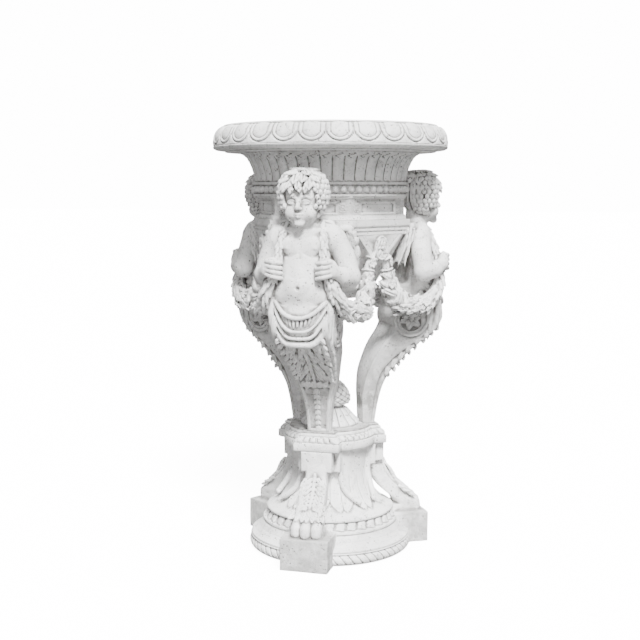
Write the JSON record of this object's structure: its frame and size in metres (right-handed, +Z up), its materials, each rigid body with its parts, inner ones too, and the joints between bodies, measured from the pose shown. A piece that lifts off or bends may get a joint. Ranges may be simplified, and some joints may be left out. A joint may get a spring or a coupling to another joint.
{
  "type": "statue planter",
  "caption": "Tall carved stone planter: winged boys on scroll legs hold garlands and carry a flared hollow bowl over a round moulded pedestal with lion paws.",
  "frame": {"origin": "middle of the flat underside of the pedestal, on the vertical axis of the bowl", "axes": "+Z up along the bowl's axis; the first boy faces -Y, the others face 120 degrees to each side"},
  "size_m": [0.8236, 0.845, 1.5],
  "materials": {
    "pedestal_stone": "weathered white marble, matt, with dark pits and grey stain in the hollows",
    "collar_stone": "weathered white marble, matt, with a few dark pits",
    "tier_stone": "weathered light grey marble, matt, with pits, speckle and dirt in the carving",
    "bowl_stone": "weathered white marble, matt, with pits and faint dark streaks"
  },
  "bodies": {
    "root": {"pedestal": "pedestal_stone", "collar": "collar_stone", "boy_tier": "tier_stone", "bowl": "bowl_stone"}
  },
  "joints": []
}
